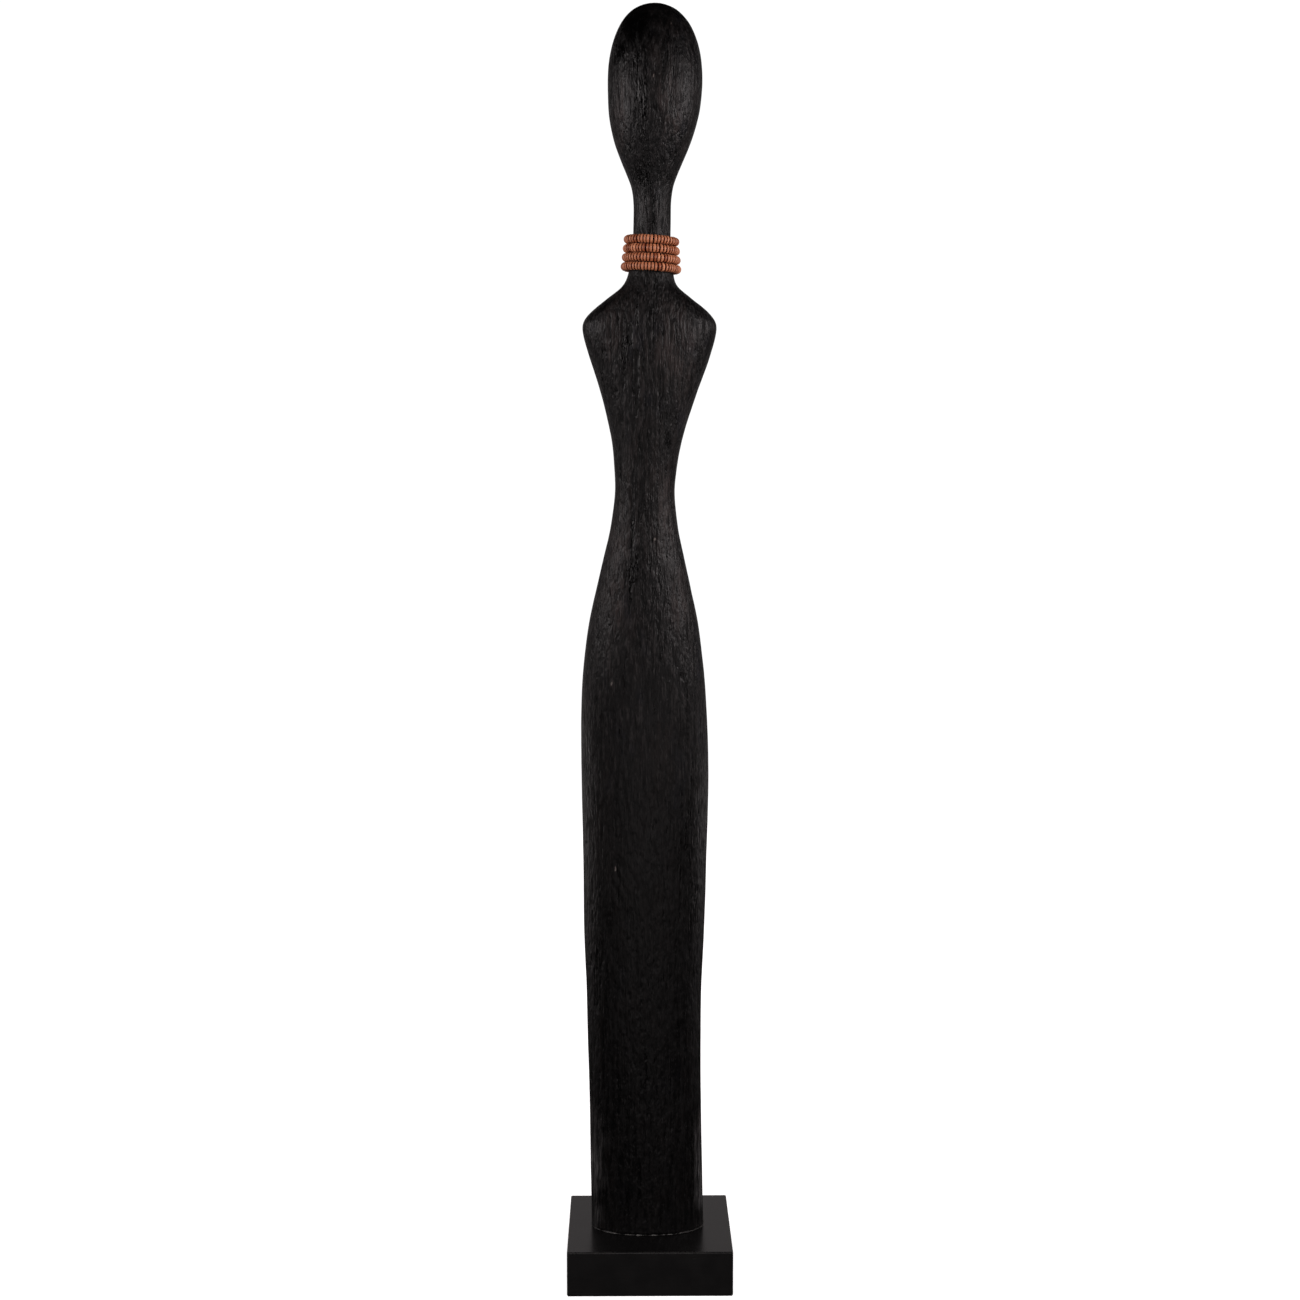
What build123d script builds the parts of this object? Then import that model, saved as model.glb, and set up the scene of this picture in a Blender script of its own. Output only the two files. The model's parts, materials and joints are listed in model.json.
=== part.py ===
from build123d import *
import math
import os

os.makedirs("parts", exist_ok=True)

# A tall faceless figure carved from one board, stained black, on a square painted plinth, with four rows of
# coconut-shell disc beads round its neck. Millimetres, +Z up, the figure faces -Y, +X is to the right as
# the figure is looked at. The origin is on the ground under the middle of the plinth.

# Driving dimensions
HEIGHT = 1000.0
PLINTH_SIDE = 130.0
PLINTH_THICK = 35.0
PLINTH_EDGE = 1.0
FELT_THICK = 0.6
FELT_INSET = 0.5
FOOT = FELT_THICK + PLINTH_THICK

# Outline of the carving: (height, full width) seen from the front, then (height, full depth) from the side.
# Above the brow both shrink to the crown as a superellipse.
BROW = 938.0
CROWN_SQUARENESS = 2.27
WIDTHS = [
    (FOOT, 90.4), (130.0, 89.6), (222.0, 91.6), (284.0, 96.3), (325.0, 97.5), (410.0, 101.0), (458.0, 99.0),
    (518.0, 87.8), (565.0, 67.7), (600.0, 52.6), (628.0, 46.9), (655.0, 51.3), (694.0, 69.5), (735.0, 96.0),
    (747.0, 102.7), (753.5, 104.6), (758.0, 103.2), (763.0, 96.3), (779.0, 58.2), (784.0, 45.2),
    (788.0, 39.0), (793.0, 35.8), (799.5, 33.1), (813.5, 30.3), (822.0, 29.1), (847.0, 29.1), (860.0, 32.0),
    (879.0, 46.6), (897.0, 60.4), (910.0, 67.3), (922.0, 71.3), (BROW, 73.0),
]
DEPTHS = [
    (FOOT, 57.0), (150.0, 57.5), (400.0, 60.0), (470.0, 59.0), (540.0, 52.0), (628.0, 41.5), (700.0, 45.5),
    (745.0, 47.5), (765.0, 44.5), (783.0, 37.5), (790.5, 35.0), (799.5, 33.1), (813.5, 30.3), (822.0, 29.1),
    (847.0, 29.1), (858.0, 31.2), (890.0, 46.0), (912.0, 54.5), (BROW, 58.0),
]
# The middle of the carving wanders a little from the upright: sideways, then forwards and back.
SWAYS = [
    (FOOT, -1.2), (130.0, -3.0), (230.0, -4.2), (400.0, -3.5), (505.0, -4.6), (628.0, -3.4), (680.0, -1.2),
    (717.0, 0.0), (783.0, 0.4), (795.0, 1.2), (845.0, 2.3), (860.0, 2.3), (885.0, 2.2), (900.0, 2.8),
    (BROW, 4.4), (970.0, 4.7), (HEIGHT, 4.1),
]
LEANS = [
    (FOOT, 0.0), (300.0, -1.0), (440.0, -1.5), (628.0, 2.0), (745.0, 0.5), (795.0, 0.0), (845.0, 0.0),
    (BROW, -2.0), (HEIGHT, -2.0),
]
# How square the oval sections are: 2 is a true ellipse. The neck is round where the necklace slides.
SQUARENESSES = [(FOOT, 2.1), (775.0, 2.12), (795.0, 2.0), (850.0, 2.0), (900.0, 2.08), (HEIGHT, 2.08)]
SECTION_POINTS = 28
# (from, to, spacing) of the carving's sections
SPACINGS = [
    (FOOT, 460.0, 32.0), (460.0, 720.0, 15.0), (720.0, 745.0, 6.0), (745.0, 800.0, 3.2), (800.0, 842.0, 6.0),
    (842.0, 880.0, 4.0), (880.0, BROW, 9.0),
]
CROWN_SECTIONS = 14
CROWN_TIP = 0.06

# Necklace: four closed rows, all tilted the same way, which slide and turn on the neck.
ROWS = 4
BEAD_DIAMETER = 6.7
BEAD_THICK = 1.84
BEAD_EDGE = 0.45
BEAD_HOLE = 1.8
THREAD_DIAMETER = 1.0
ROW_HEIGHTS = [820.5, 813.5, 806.5, 799.5]
ROW_RADII = [18.35, 19.0, 19.65, 20.45]
BEADS_IN_ROW = [48, 49, 51, 53]
ROW_TILT = 3.3
NECK_LOW = (1.2, 795.0)
NECK_HIGH = (2.3, 845.0)

# Two countersunk wood screws from under the plinth into the foot
SCREW_SPACING = 46.0
SCREW_LENGTH = 60.0
SCREW_HEAD = 9.2
SCREW_HEAD_EDGE = 0.4
SCREW_HEAD_DEPTH = 2.6
SCREW_SHANK = 3.6
SCREW_CREST = 5.0
SCREW_CORE = 3.3
SCREW_PITCH = 2.6
SCREW_POINT = 6.0
DRIVE_WIDTH = 4.4
DRIVE_BLADE = 1.0
DRIVE_DEPTH = 1.9
RECESS_DIAMETER = 12.0
RECESS_DEPTH = 8.0
CLEARANCE_HOLE = 5.4

GLUE_REACH = 1.1
GLUE_RISE = 0.9


def smooth(points):
    """A curve through (height, value) points, smooth and never beyond its neighbours (monotone cubic)."""
    heights = [height for height, value in points]
    values = [value for height, value in points]
    spans = [above - below for below, above in zip(heights, heights[1:])]
    slopes = [(b - a) / span for a, b, span in zip(values, values[1:], spans)]
    tangents = [slopes[0]]
    for i in range(1, len(points) - 1):
        before, after = slopes[i - 1], slopes[i]
        if before * after <= 0:
            tangents.append(0.0)
        else:
            left, right = 2 * spans[i] + spans[i - 1], spans[i] + 2 * spans[i - 1]
            tangents.append((left + right) / (left / before + right / after))
    tangents.append(slopes[-1])

    def value_at(height):
        i = max(0, min(len(spans) - 1, sum(h <= height for h in heights) - 1))
        t = (height - heights[i]) / spans[i]
        rise = values[i] * (1 + 2 * t) * (1 - t) ** 2 + values[i + 1] * t * t * (3 - 2 * t)
        return rise + spans[i] * (tangents[i] * t * (1 - t) ** 2 - tangents[i + 1] * t * t * (1 - t))

    return value_at


width_at, depth_at, sway_at, lean_at, squareness_at = (
    smooth(points) for points in (WIDTHS, DEPTHS, SWAYS, LEANS, SQUARENESSES)
)


def section(height, grow=0.0):
    """The carving's closed outline at one height, a slightly squared oval, grown outwards by grow."""
    width, depth = width_at(min(height, BROW)), depth_at(min(height, BROW))
    if height > BROW:
        rise = (height - BROW) / (HEIGHT - BROW)
        shrink = (1 - rise**CROWN_SQUARENESS) ** (1 / CROWN_SQUARENESS)
        width, depth = width * shrink, depth * shrink
    width, depth = width + 2 * grow, depth + 2 * grow
    power = 2 / squareness_at(height)
    points = []
    for i in range(SECTION_POINTS):
        turn = 2 * math.pi * i / SECTION_POINTS
        across, along = math.cos(turn), math.sin(turn)
        x = sway_at(height) + width / 2 * math.copysign(abs(across) ** power, across)
        y = lean_at(height) + depth / 2 * math.copysign(abs(along) ** power, along)
        points.append((x, y, height))
    # Every section shares one set of parameters, so that the lofted surface stays light.
    shares = [i / SECTION_POINTS for i in range(SECTION_POINTS + 1)]
    return Wire([Edge.make_spline([Vector(*p) for p in points], parameters=shares, periodic=True)])


def section_heights():
    heights = []
    for start, stop, spacing in SPACINGS:
        count = max(1, round((stop - start) / spacing))
        heights += [start + (stop - start) * i / count for i in range(count)]
    crown = HEIGHT - BROW
    for i in range(CROWN_SECTIONS):
        heights.append(BROW + (crown - CROWN_TIP) * math.sin(math.pi / 2 * i / (CROWN_SECTIONS - 1)))
    return heights


def wood_screw():
    """A countersunk wood screw standing on its head, its thread as a stack of ridges."""
    thread_start = SCREW_LENGTH * 0.42
    profile = [
        (0, 0), (SCREW_HEAD / 2, 0), (SCREW_HEAD / 2, SCREW_HEAD_EDGE),
        (SCREW_SHANK / 2, SCREW_HEAD_EDGE + SCREW_HEAD_DEPTH),
        (SCREW_SHANK / 2, thread_start), (SCREW_CORE / 2, thread_start + 0.6),
    ]
    height = thread_start + 0.6
    while height + SCREW_PITCH < SCREW_LENGTH - SCREW_POINT:
        profile.append((SCREW_CREST / 2, height + SCREW_PITCH * 0.5))
        profile.append((SCREW_CORE / 2, height + SCREW_PITCH * 0.9))
        profile.append((SCREW_CORE / 2, height + SCREW_PITCH))
        height += SCREW_PITCH
    profile += [(SCREW_CORE / 2, SCREW_LENGTH - SCREW_POINT), (0, SCREW_LENGTH)]
    outline = Wire.make_polygon([Vector(r, 0, z) for r, z in profile], close=True)
    screw = revolve(Face(outline), Axis.Z, 360)
    blade = Box(DRIVE_WIDTH, DRIVE_BLADE, 2 * DRIVE_DEPTH)
    return screw - blade - Rot(0, 0, 90) * blade


def screw_way():
    """What is drilled from under the plinth for one screw: recess, countersink and clearance hole."""
    head, hole = SCREW_HEAD / 2, CLEARANCE_HOLE / 2
    seat = RECESS_DEPTH + SCREW_HEAD_EDGE
    cone = SCREW_HEAD_DEPTH * (head - hole) / (head - SCREW_SHANK / 2)
    profile = [
        (0, -1), (RECESS_DIAMETER / 2, -1), (RECESS_DIAMETER / 2, RECESS_DEPTH), (head, RECESS_DEPTH),
        (head, seat), (hole, seat + cone), (hole, PLINTH_THICK + 1), (0, PLINTH_THICK + 1),
    ]
    outline = Wire.make_polygon([Vector(r, 0, z) for r, z in profile], close=True)
    return revolve(Face(outline), Axis.Z, 360)


def bead():
    """One disc bead with its hole, its axis along Y."""
    disc = Cylinder(BEAD_DIAMETER / 2, BEAD_THICK) - Cylinder(BEAD_HOLE / 2, 2 * BEAD_THICK)
    rim = disc.edges().filter_by(GeomType.CIRCLE).sort_by(lambda e: e.radius)[-2:]
    return Rot(90, 0, 0) * fillet(rim, BEAD_EDGE)


def row_place(row):
    """The tilted plane of one row, its origin on the neck's own axis."""
    (low_x, low_z), (high_x, high_z) = NECK_LOW, NECK_HIGH
    height = ROW_HEIGHTS[row]
    x = low_x + (high_x - low_x) * (height - low_z) / (high_z - low_z)
    return Location((x, 0, height), (0, ROW_TILT, 0))


def bead_row(row):
    count = BEADS_IN_ROW[row]
    disc = bead()
    around = [Rot(0, 0, 360 * i / count) * Pos(ROW_RADII[row], 0, 0) * disc for i in range(count)]
    return Compound([row_place(row) * Solid(piece.solid().wrapped) for piece in around])


def thread(row):
    return row_place(row) * Torus(ROW_RADII[row], THREAD_DIAMETER / 2)


# The screws first: each cuts its own way into the foot.
screw_bottom = FELT_THICK + RECESS_DEPTH
screws = [Pos(x, 0, screw_bottom) * wood_screw() for x in (-SCREW_SPACING / 2, SCREW_SPACING / 2)]

outlines = [section(height) for height in section_heights()]
crown_point = Vertex(sway_at(HEIGHT), lean_at(HEIGHT), HEIGHT)
carving = Solid.make_loft(outlines + [crown_point])
figure = carving
for screw in screws:
    figure = figure - screw

plinth = Pos(0, 0, FELT_THICK + PLINTH_THICK / 2) * Box(PLINTH_SIDE, PLINTH_SIDE, PLINTH_THICK)
plinth = fillet(plinth.edges().filter_by(Axis.Z), PLINTH_EDGE)
plinth = fillet(plinth.faces().sort_by(Axis.Z)[-1].edges(), PLINTH_EDGE)
plinth = chamfer(plinth.faces().sort_by(Axis.Z)[0].edges(), PLINTH_EDGE / 2)
for x in (-SCREW_SPACING / 2, SCREW_SPACING / 2):
    plinth = plinth - Pos(x, 0, FELT_THICK) * screw_way()

# A thin sheet of felt under the whole plinth, which also covers the screws
felt_side = PLINTH_SIDE - 2 * FELT_INSET
felt = Pos(0, 0, FELT_THICK / 2) * Box(felt_side, felt_side, FELT_THICK)
felt = fillet(felt.edges().filter_by(Axis.Z), PLINTH_EDGE)

# A thin fillet of glue squeezed out all round the foot
glue_steps = [(0.0, 1.0), (0.3, 0.55), (1.0, 0.2)]
glue = Solid.make_loft([section(FOOT + GLUE_RISE * up, GLUE_REACH * out) for up, out in glue_steps])
glue = glue - carving

nodes = {
    "carved_figure": figure,
    "plinth": plinth,
    "plinth_screws": Compound([screw.solid() for screw in screws]),
    "glue_line": glue,
    "felt_sheet": felt,
}
for row in range(ROWS):
    nodes[f"beads_row_{row + 1}"] = bead_row(row)
    nodes[f"thread_row_{row + 1}"] = thread(row)

for name, shape in nodes.items():
    export_step(shape, f"parts/{name}.step")
    box = shape.bounding_box()
    print(name, len(shape.solids()), "solids, size", [round(v, 2) for v in box.size], "valid", shape.is_valid)
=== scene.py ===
# %% [markdown]
# # A carved wooden figure with a bead necklace
# The object is a slender faceless figure, cut from one board, brushed and stained black. It stands on a
# square black plinth and wears four rows of coconut-shell discs. The solid model comes first and stays
# untouched: it says where everything is. Blender then dresses it with meshes and finishes.

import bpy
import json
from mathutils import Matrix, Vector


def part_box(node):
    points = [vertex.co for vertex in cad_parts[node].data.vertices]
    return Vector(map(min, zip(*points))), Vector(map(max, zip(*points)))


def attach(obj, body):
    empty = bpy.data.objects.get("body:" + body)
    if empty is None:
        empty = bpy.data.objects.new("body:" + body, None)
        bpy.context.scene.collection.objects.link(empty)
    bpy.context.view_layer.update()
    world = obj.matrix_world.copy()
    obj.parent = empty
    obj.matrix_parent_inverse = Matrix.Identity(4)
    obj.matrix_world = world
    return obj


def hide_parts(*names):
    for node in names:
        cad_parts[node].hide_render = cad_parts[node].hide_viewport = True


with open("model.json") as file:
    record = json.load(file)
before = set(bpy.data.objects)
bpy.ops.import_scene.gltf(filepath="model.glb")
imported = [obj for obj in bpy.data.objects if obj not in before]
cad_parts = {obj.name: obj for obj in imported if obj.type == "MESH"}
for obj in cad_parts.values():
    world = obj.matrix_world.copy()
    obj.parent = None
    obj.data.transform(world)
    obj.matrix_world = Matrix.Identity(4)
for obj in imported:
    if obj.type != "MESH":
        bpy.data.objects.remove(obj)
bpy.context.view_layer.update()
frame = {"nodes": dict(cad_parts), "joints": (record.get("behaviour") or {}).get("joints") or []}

# %% [markdown]
# Lengths below are written in millimetres and turned into Blender's metres by `MM`, because that is how a
# carver or a bead maker would say them. One seeded source gives all the chance in the piece.

# %% Units, chance and a few helpers
import json
import math
import random

import bpy
import numpy as np
from mathutils import Matrix, Vector, geometry, noise
from mathutils.bvhtree import BVHTree

MM = 0.001
chance = random.Random(7)


def node_box(name):
    """The corners of a solid-model node, as two vectors in millimetres."""
    low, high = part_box(name)
    return low / MM, high / MM


plinth_low, plinth_high = node_box("plinth")
carving_low, carving_high = node_box("carved_figure")
print("plinth", [round(v, 1) for v in plinth_high - plinth_low], "mm")
print("carving from", round(carving_low.z, 1), "to", round(carving_high.z, 1), "mm")

# %% [markdown]
# ## The camera
# A long lens stands well back, a little higher than the figure's waist, and looks slightly down, so the
# plinth shows its top. The picture is square. Placing it first means that every later step can be judged in
# the same view.

# %% Camera
CAMERA_BACK = 1715.6
CAMERA_ASIDE = -15.9
CAMERA_HEIGHT = 668.3
CAMERA_DOWN = math.radians(5.546)
CAMERA_TURN = math.radians(-0.55)

lens = bpy.data.cameras.new("camera")
lens.sensor_width = 36.0
lens.lens = 60.46
camera = bpy.data.objects.new("camera", lens)
camera.location = Vector((CAMERA_ASIDE, -CAMERA_BACK, CAMERA_HEIGHT)) * MM
camera.rotation_euler = (math.radians(90) - CAMERA_DOWN, 0, CAMERA_TURN)
bpy.context.scene.collection.objects.link(camera)
bpy.context.scene.camera = camera
print("camera", round(camera.location.length, 3), "m from the origin")

# %% [markdown]
# ## Studio light
# Black satin wood shows mostly what it reflects. Two large soft boxes stand to the left and the right, a
# little in front and at the height of the head. The head, the chest and the hips catch a broad sheen on
# each side of a dark middle, while the crown, which faces up, and the skirt, which mirrors the dark below
# the boxes, stay nearly black. A low lamp in front keeps the plinth from sinking away. Two dim ones just
# above the table, far out at the sides and a little behind, draw the edges of the skirt. A weak wall of
# light behind the figure gives the plinth's top and the silhouette their thin lift. The light has a faint
# rose cast, and the lamps are hidden from the camera.

# %% Lamps
LIGHT_TINT = (1.0, 0.925, 0.925)
SKY_STRENGTH = 0.005

bpy.context.scene.view_settings.view_transform = "Standard"


def soft_box(name, place, aim, width, height, watts):
    """A rectangular lamp at a place, turned to face a point, both in millimetres."""
    lamp = bpy.data.lights.new(name, "AREA")
    lamp.shape = "RECTANGLE"
    lamp.size, lamp.size_y = width * MM, height * MM
    lamp.energy = watts
    lamp.color = LIGHT_TINT
    stand = bpy.data.objects.new(name, lamp)
    stand.location = Vector(place) * MM
    towards = (Vector(aim) - Vector(place)).normalized()
    stand.rotation_euler = towards.to_track_quat("-Z", "Y").to_euler()
    stand.visible_camera = False
    bpy.context.scene.collection.objects.link(stand)


soft_box("box_left", (-1100, -430, 940), (0, 0, 880), 1000, 500, 11.5)
soft_box("box_right", (1050, -600, 940), (0, 0, 880), 1100, 500, 16)
soft_box("wall_behind", (0, 1900, 800), (0, 0, 500), 3600, 1800, 6)
soft_box("low_fill", (0, -1500, 150), (0, 0, 20), 1200, 300, 4)
soft_box("edge_left", (-1150, 480, 150), (0, 0, 120), 800, 260, 1.7)
soft_box("edge_right", (1150, 480, 150), (0, 0, 120), 800, 260, 1.4)

dusk = bpy.data.worlds.new("dusk")
bpy.context.scene.world = dusk
dusk.use_nodes = True
dusk.node_tree.nodes["Background"].inputs["Color"].default_value = (1, 1, 1, 1)
dusk.node_tree.nodes["Background"].inputs["Strength"].default_value = SKY_STRENGTH
print("lamps", len(bpy.data.lights))

# %% [markdown]
# ## A small language for finishes
# A finish is a chain of nodes, which reads badly as node-by-node code. So a socket is wrapped in a small
# class, and ordinary arithmetic on it adds Math nodes. Everything else goes through one method, `node`,
# which takes the node's type, its settings and what goes into its sockets.

# %% Arithmetic on sockets
class Signal:
    """The output of a node, which can be added, multiplied and so on like a number."""

    def __init__(self, finish, socket):
        self.finish = finish
        self.socket = socket

    def math(self, operation, *others, clamp=False):
        settings = {"operation": operation, "use_clamp": clamp}
        return self.finish.node("Math", settings, dict(enumerate((self, *others))))

    def __add__(self, other):
        return self.math("ADD", other)

    def __sub__(self, other):
        return self.math("SUBTRACT", other)

    def __rsub__(self, other):
        return self.finish.node("Math", {"operation": "SUBTRACT"}, {0: other, 1: self})

    def __mul__(self, other):
        return self.math("MULTIPLY", other)

    __radd__ = __add__
    __rmul__ = __mul__

    def clamped(self):
        return self.math("ADD", 0.0, clamp=True)

    def step(self, low, high):
        """0 below low, 1 above high, and smooth between."""
        settings = {"interpolation_type": "SMOOTHSTEP"}
        return self.finish.node("MapRange", settings, {"Value": self, "From Min": low, "From Max": high})


class Finish:
    """One material: a Principled shader whose constants are set once, and the nodes that feed it."""

    def __init__(self, name, **constants):
        self.material = bpy.data.materials.new(name)
        self.material.use_nodes = True
        self.tree = self.material.node_tree
        self.shader = self.tree.nodes["Principled BSDF"]
        for socket, value in constants.items():
            self.shader.inputs[socket.replace("_", " ")].default_value = value

    def node(self, kind, settings=None, sockets=None, output=0):
        """Adds a node, sets it up, then gives its sockets values or links. Returns one output."""
        made = self.tree.nodes.new("ShaderNode" + kind)
        for name, value in (settings or {}).items():
            setattr(made, name, value)
        for key, value in (sockets or {}).items():
            self.feed(made.inputs[key], value)
        return Signal(self, made.outputs[output])

    def feed(self, socket, value):
        if isinstance(value, Signal):
            self.tree.links.new(value.socket, socket)
        elif isinstance(value, tuple) and len(value) == 3 and socket.type == "RGBA":
            socket.default_value = (*value, 1.0)
        else:
            socket.default_value = value

    def surface(self, **signals):
        """Feeds the shader's own sockets: surface(Base_Color=..., Roughness=...)."""
        for socket, value in signals.items():
            self.feed(self.shader.inputs[socket.replace("_", " ")], value)

    def place(self, across=1.0, along=1.0):
        """Millimetre coordinates on the piece, X and Y times across and Z times along."""
        here = self.node("TexCoord", output="Object")
        scale = (across / MM, across / MM, along / MM)
        return self.node("VectorMath", {"operation": "MULTIPLY"}, {0: here, 1: scale})

    def grain(self, across, along, detail=2.0, rough=0.5, shift=0.0):
        """Noise from 0 to 1 in spots about across wide and along tall, in millimetres."""
        moved = self.node(
            "VectorMath", {"operation": "ADD"}, {0: self.place(1 / across, 1 / along), 1: (shift,) * 3}
        )
        sockets = {"Vector": moved, "Scale": 1.0, "Detail": detail, "Roughness": rough}
        return self.node("TexNoise", None, sockets, "Fac")

    def mix(self, amount, low, high):
        """A colour between low and high."""
        settings = {"data_type": "RGBA", "clamp_factor": True}
        sockets = {"Factor": amount, 6: low, 7: high}
        return self.node("Mix", settings, sockets, 2)

    def bump(self, height, millimetres, under=None):
        """A normal bent by a height of 0 to 1 that stands for so many millimetres."""
        sockets = {"Height": height, "Distance": millimetres * MM, "Strength": 1.0}
        if under is not None:
            sockets["Normal"] = under
        return self.node("Bump", None, sockets, "Normal")


print("finish helpers ready")

# %% [markdown]
# ## Mesh helper
# Each piece ends as a list of points and faces. One helper turns them into an object that rides on its
# body, stands for its solid-model node and carries its finish.

# %% Turning points and faces into a piece
def make_piece(name, points, faces, finish, body, stands_for, tones=None):
    """A named piece from points in millimetres, on its body and in place of a solid-model node."""
    mesh = bpy.data.meshes.new(name)
    mesh.from_pydata([tuple(v) for v in np.asarray(points) * MM], [], faces)
    mesh.update()
    if tones is not None:
        tone = mesh.attributes.new("tone", "FLOAT", "POINT")
        tone.data.foreach_set("value", tones)
    mesh.polygons.foreach_set("use_smooth", [True] * len(mesh.polygons))
    mesh.materials.append(finish.material)
    piece = bpy.data.objects.new(name, mesh)
    bpy.context.scene.collection.objects.link(piece)
    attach(piece, body)
    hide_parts(stands_for)
    print(name, len(points), "points", len(faces), "faces")


def ring_faces(rows, columns, first=0, closed_rows=False):
    """Quads between rings of points, each ring closed on itself; the last ring can meet the first."""
    faces = []
    for row in range(rows if closed_rows else rows - 1):
        low, high = first + row * columns, first + (row + 1) % rows * columns
        for column in range(columns):
            beside = (column + 1) % columns
            faces.append((low + column, low + beside, high + beside, high + column))
    return faces


# %% [markdown]
# ## Measuring the carving
# The wooden body is one closed form with an oval section everywhere. Its outline is read from the solid
# model: level rays come in from outside towards a line up its middle, and above the brow a fan of rays
# comes in on the middle of the head, so the rows close neatly at the crown. A little averaging takes out
# the flat facets of the solid model's own mesh.

# %% Rays to the carved surface
COLUMNS = 190
BODY_ROWS = 468
CROWN_ROWS = 38
BROW = carving_high.z - 62.0
# Rays start this far outside, and the lowest row lies this hair above the foot's own face
OUTSIDE = 200.0
HAIR = 0.02

solid = frame["nodes"]["carved_figure"].data
wood = BVHTree.FromPolygons([v.co for v in solid.vertices], [tuple(p.vertices) for p in solid.polygons])
turns = np.arange(COLUMNS) * 2 * math.pi / COLUMNS


def reach(start, way):
    """How far the wood's outer surface is from a point, in millimetres, looking in from outside."""
    far = Vector(start) + Vector(way) * OUTSIDE
    hit = wood.ray_cast(far * MM, -Vector(way))[0]
    return (hit / MM - Vector(start)).dot(way)


def middle_at(height):
    """The middle of the carving at one height."""
    right, left = reach((0, 0, height), (1, 0, 0)), reach((0, 0, height), (-1, 0, 0))
    back, front = reach((0, 0, height), (0, 1, 0)), reach((0, 0, height), (0, -1, 0))
    return Vector(((right - left) / 2, (back - front) / 2, height))


foot = carving_low.z
body_heights = np.linspace(foot + HAIR, BROW, BODY_ROWS)
middles = [middle_at(height) for height in body_heights]
reaches = [[reach(m, (math.cos(t), math.sin(t), 0)) for t in turns] for m in middles]
head_middle = middles[-1]
for row in range(1, CROWN_ROWS):
    rise = math.pi / 2 * row / CROWN_ROWS
    level, up = math.cos(rise), math.sin(rise)
    ways = [(math.cos(t) * level, math.sin(t) * level, up) for t in turns]
    reaches.append([reach(head_middle, way) for way in ways])
crown_reach = reach(head_middle, (0, 0, 1))
reaches = np.array(reaches)
print("widest", round(reaches.max() * 2, 1), "mm, crown", round(head_middle.z + crown_reach, 1), "mm")

# %% [markdown]
# ## Smoothing and the rows of points
# The flat facets show up as quick wiggles round each row. A row is a smooth closed curve, so only its
# slow waves are kept, and neighbouring rows are averaged a little. The seam-free grid that results is
# dense enough to carry real tool marks.

# %% From rays to a smooth grid
SLOW_WAVES = 14
ROW_BLEND = np.array([1, 4, 6, 4, 1]) / 16


def slow_waves(rows):
    """Keeps only the slow waves of each closed row."""
    waves = np.fft.rfft(rows, axis=1)
    waves[:, SLOW_WAVES:] = 0
    return np.fft.irfft(waves, rows.shape[1], axis=1)


def blend_rows(grid):
    """Averages each row with its neighbours, leaving the two rows at each end."""
    blended = grid.copy()
    blended[2:-2] = sum(share * grid[i : len(grid) - 4 + i] for i, share in enumerate(ROW_BLEND))
    return blended


reaches = slow_waves(reaches)
level_ways = np.stack([np.cos(turns), np.sin(turns), np.zeros(COLUMNS)], 1)
grid = [np.array(m) + reaches[i][:, None] * level_ways for i, m in enumerate(middles)]
for row in range(1, CROWN_ROWS):
    rise = math.pi / 2 * row / CROWN_ROWS
    ways = level_ways * math.cos(rise) + np.array([0, 0, math.sin(rise)])
    grid.append(np.array(head_middle) + reaches[BODY_ROWS - 1 + row][:, None] * ways)
grid = blend_rows(np.array(grid))
crown_tip = np.array(head_middle) + np.array([0, 0, crown_reach])
print("grid", grid.shape)

# %% [markdown]
# ## Tool marks, grain and checks
# The real surface was shaped with a drawknife and a rasp, then brushed hard along the grain with wire,
# which wears the soft wood between the fibres. So the relief has slow waves from shaping, long flats a
# finger wide, and fine furrows that all run up and down. A few drying checks are deeper. Everything is
# pushed along the surface's own direction, so the silhouette keeps its true place to a fraction of a
# millimetre.

# %% Relief of the carved surface
# Waves and furrows: (width, height of one, depth), millimetres
STROKES = [(34.0, 80.0, 0.32), (11.0, 110.0, 0.20), (5.0, 70.0, 0.13), (3.2, 34.0, 0.09)]
# Drying checks on the front: (across, from, to, half width, depth), millimetres
CHECKS = [
    (-10.6, 701.0, 738.0, 3.2, 1.1), (-9.6, 684.0, 708.0, 1.6, 0.6), (-15.0, 738.0, 758.0, 3.6, 0.7),
    (-20.0, 728.0, 748.0, 3.0, 0.5), (-9.0, 752.0, 772.0, 2.6, 0.5),
    (-13.0, 566.0, 606.0, 2.0, 0.6), (-14.5, 540.0, 572.0, 1.6, 0.4), (13.0, 575.0, 600.0, 1.3, 0.3),
    (8.0, 655.0, 700.0, 1.3, 0.25), (-20.0, 455.0, 500.0, 1.4, 0.25), (24.0, 300.0, 380.0, 1.4, 0.25),
]
# The relief dies away over the last rows before the crown's tip, where the columns crowd together
CROWN_FADE = 12


def outward(points):
    """Unit directions out of a closed grid, from its neighbouring rows and columns."""
    along_row = np.roll(points, -1, 1) - np.roll(points, 1, 1)
    up = np.gradient(points, axis=0)
    across = np.cross(along_row, up)
    return across / np.linalg.norm(across, axis=2, keepdims=True)


def strokes_at(point):
    """The sum of all waves and furrows at a point, millimetres."""
    x, y, z = point
    height = 0.0
    for layer, (width, length, depth) in enumerate(STROKES):
        height += depth * noise.noise(Vector((x / width + 9.7 * layer, y / width, z / length)))
    return height


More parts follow.
